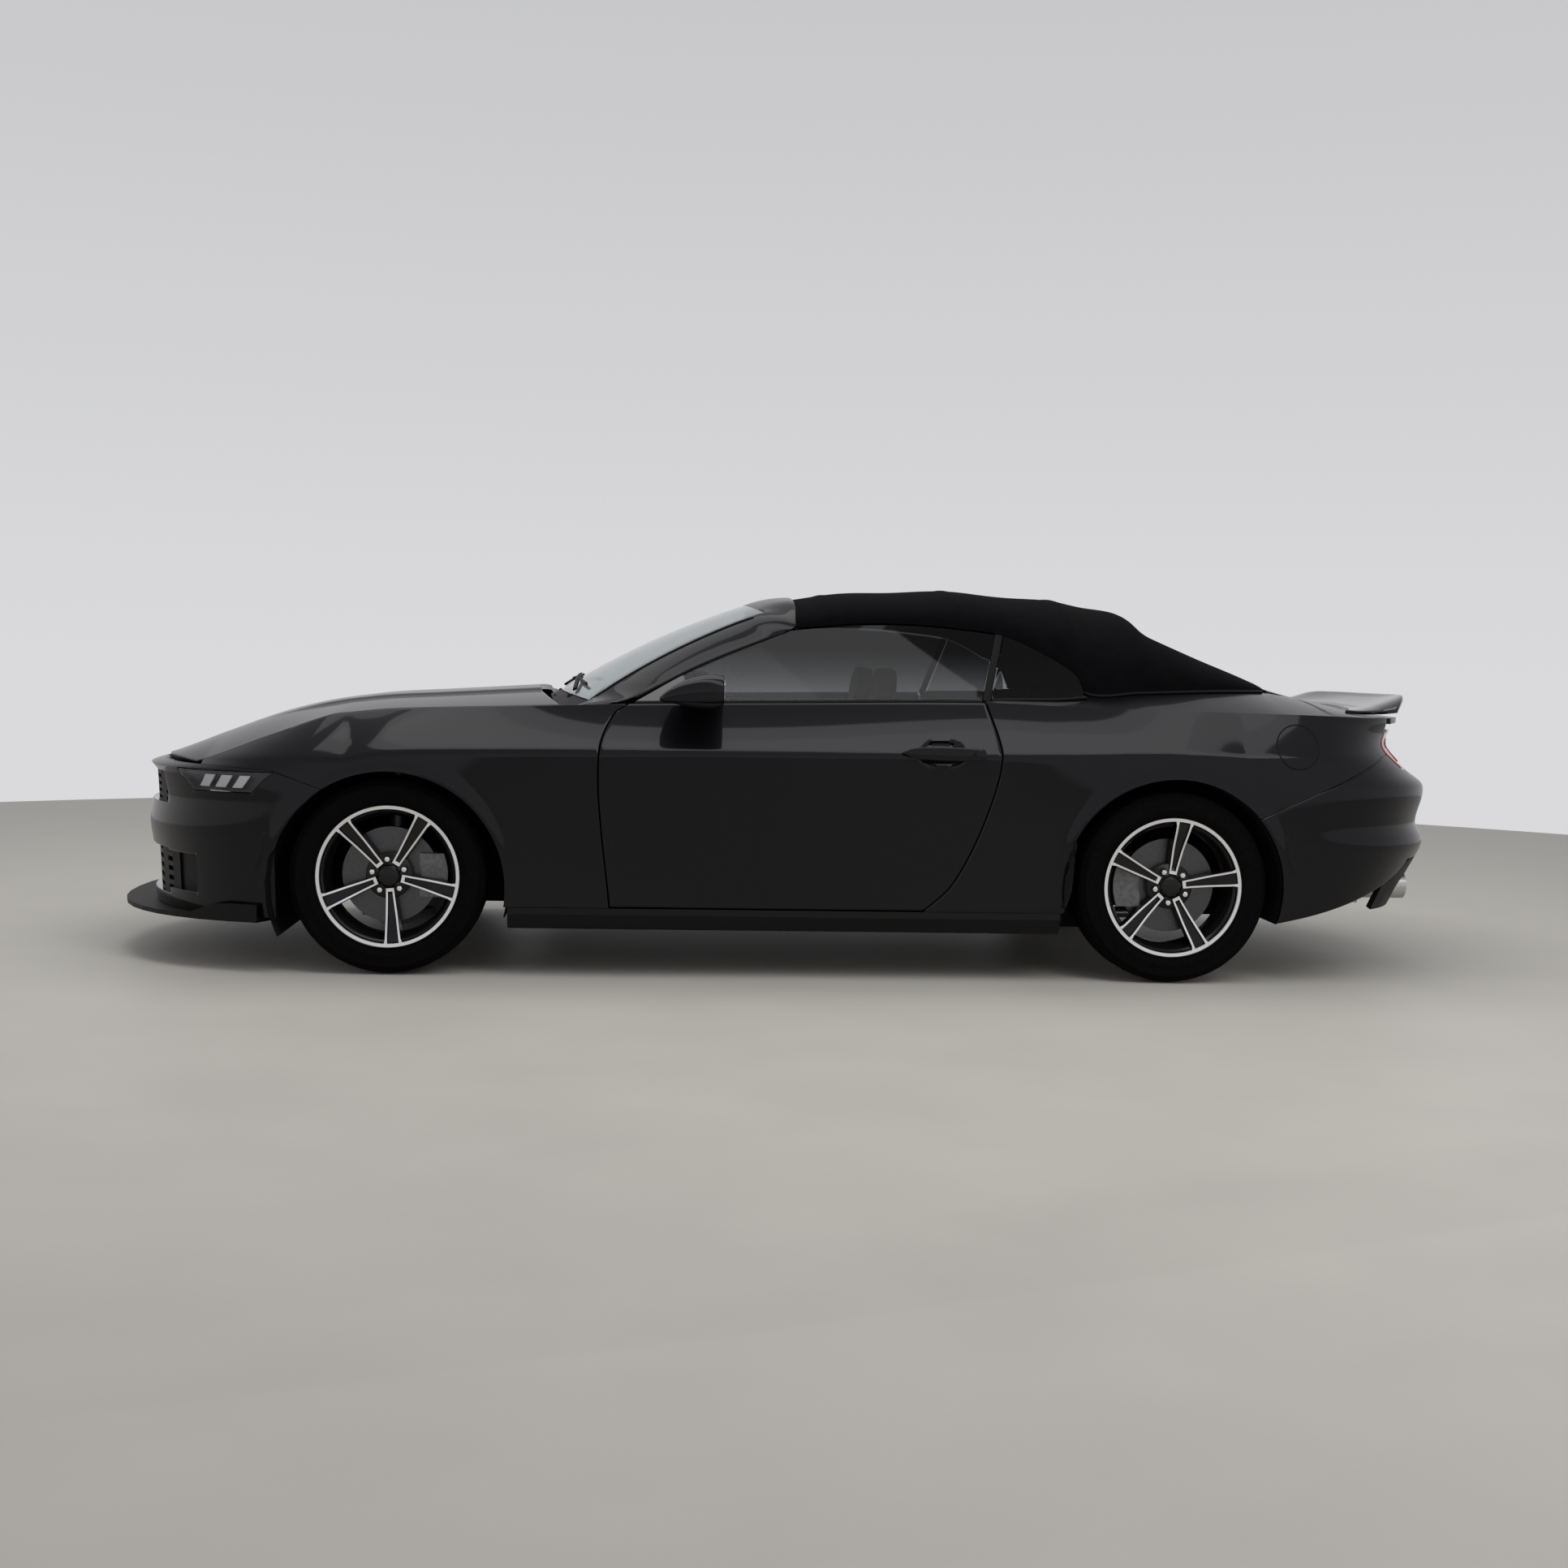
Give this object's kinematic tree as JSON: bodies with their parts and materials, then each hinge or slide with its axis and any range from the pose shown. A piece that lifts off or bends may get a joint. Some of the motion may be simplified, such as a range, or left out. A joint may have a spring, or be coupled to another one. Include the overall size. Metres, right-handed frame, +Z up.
{
  "type": "muscle car",
  "caption": "Two-door muscle car with a raised fabric roof, doors, hood and deck lid that open, front wheels that steer and wheels that roll.",
  "frame": {"origin": "on the ground, under the middle of the car's bounding box", "axes": "+X forward, +Y to the car's left, +Z up"},
  "size_m": [4.8879, 2.0788, 1.3916],
  "materials": {
    "paint": "glossy dark grey metallic",
    "trim": "black",
    "glass": "clear, faint green",
    "tinted_glass": "dark tint",
    "lamp": "smoked clear lens",
    "lamp_red": "red lens",
    "roof_fabric": "black woven",
    "underbody": "matt black",
    "cast_metal": "cast",
    "steel": "brushed",
    "cabin_plastic": "grained",
    "seat_fabric": "black cloth",
    "tyre": "rubber",
    "alloy": "machined faces, black pockets",
    "disc": "turned"
  },
  "bodies": {
    "body": {"tub": "underbody", "front_bumper": "paint", "grille": "trim", "fenders": "paint", "quarter_panels": "paint", "rear_bumper": "paint", "lower_trim": "trim", "cowl": "trim", "windshield_frame": "trim", "windshield": "glass", "soft_top": "roof_fabric", "rear_glass": "tinted_glass", "headlamps": "lamp", "taillamps": "lamp_red", "engine": "cast_metal", "exhaust": "steel", "dashboard": "cabin_plastic", "front_seats": "seat_fabric", "rear_seat": "seat_fabric", "steering_wheel": "cabin_plastic", "front_suspension": "underbody", "rear_axle": "underbody", "tail_panel": "trim"},
    "door_left": {"door_left": "paint", "door_glass_left": "tinted_glass", "mirror_left": "paint"},
    "door_right": {"door_right": "paint", "door_glass_right": "tinted_glass", "mirror_right": "paint"},
    "hood": {"hood": "paint"},
    "deck_lid": {"deck_lid": "paint", "spoiler": "trim"},
    "knuckle_left": {"knuckle_left": "cast_metal"},
    "knuckle_right": {"knuckle_right": "cast_metal"},
    "wheel_front_left": {"tyre_front_left": "tyre", "rim_front_left": "alloy", "disc_front_left": "disc"},
    "wheel_front_right": {"tyre_front_right": "tyre", "rim_front_right": "alloy", "disc_front_right": "disc"},
    "wheel_rear_left": {"tyre_rear_left": "tyre", "rim_rear_left": "alloy", "disc_rear_left": "disc"},
    "wheel_rear_right": {"tyre_rear_right": "tyre", "rim_rear_right": "alloy", "disc_rear_right": "disc"}
  },
  "joints": [
    {"name": "door_left_swing", "type": "hinge", "parent": "body", "child": "door_left", "pos_m": [0.61, 0.902, 0.6], "axis": [0, 0, -1], "range_deg": [0, 65]},
    {"name": "door_right_swing", "type": "hinge", "parent": "body", "child": "door_right", "pos_m": [0.61, -0.902, 0.6], "axis": [0, 0, 1], "range_deg": [0, 65]},
    {"name": "hood_lift", "type": "hinge", "parent": "body", "child": "hood", "pos_m": [0.829, 0, 0.905], "axis": [0, -1, 0], "range_deg": [0, 50]},
    {"name": "deck_lid_lift", "type": "hinge", "parent": "body", "child": "deck_lid", "pos_m": [-1.835, 0, 0.951], "axis": [0, 1, 0], "range_deg": [0, 70]},
    {"name": "steer_left", "type": "hinge", "parent": "body", "child": "knuckle_left", "pos_m": [1.385, 0.745, 0.205], "axis": [0, -0.2193, 0.9757], "range_deg": [-35, 35]},
    {"name": "steer_right", "type": "hinge", "parent": "body", "child": "knuckle_right", "pos_m": [1.385, -0.745, 0.205], "axis": [0, 0.2193, 0.9757], "range_deg": [-35, 35]},
    {"name": "front_left_spin", "type": "hinge", "parent": "knuckle_left", "child": "wheel_front_left", "pos_m": [1.385, 0.791, 0.338], "axis": [0, 1, 0], "continuous": true},
    {"name": "front_right_spin", "type": "hinge", "parent": "knuckle_right", "child": "wheel_front_right", "pos_m": [1.385, -0.791, 0.338], "axis": [0, 1, 0], "continuous": true},
    {"name": "rear_left_spin", "type": "hinge", "parent": "body", "child": "wheel_rear_left", "pos_m": [-1.335, 0.824, 0.338], "axis": [0, 1, 0], "continuous": true},
    {"name": "rear_right_spin", "type": "hinge", "parent": "body", "child": "wheel_rear_right", "pos_m": [-1.335, -0.824, 0.338], "axis": [0, 1, 0], "continuous": true}
  ],
  "couplings": [
    {"joint": "steer_right", "follows": "steer_left", "ratio": 1}
  ]
}
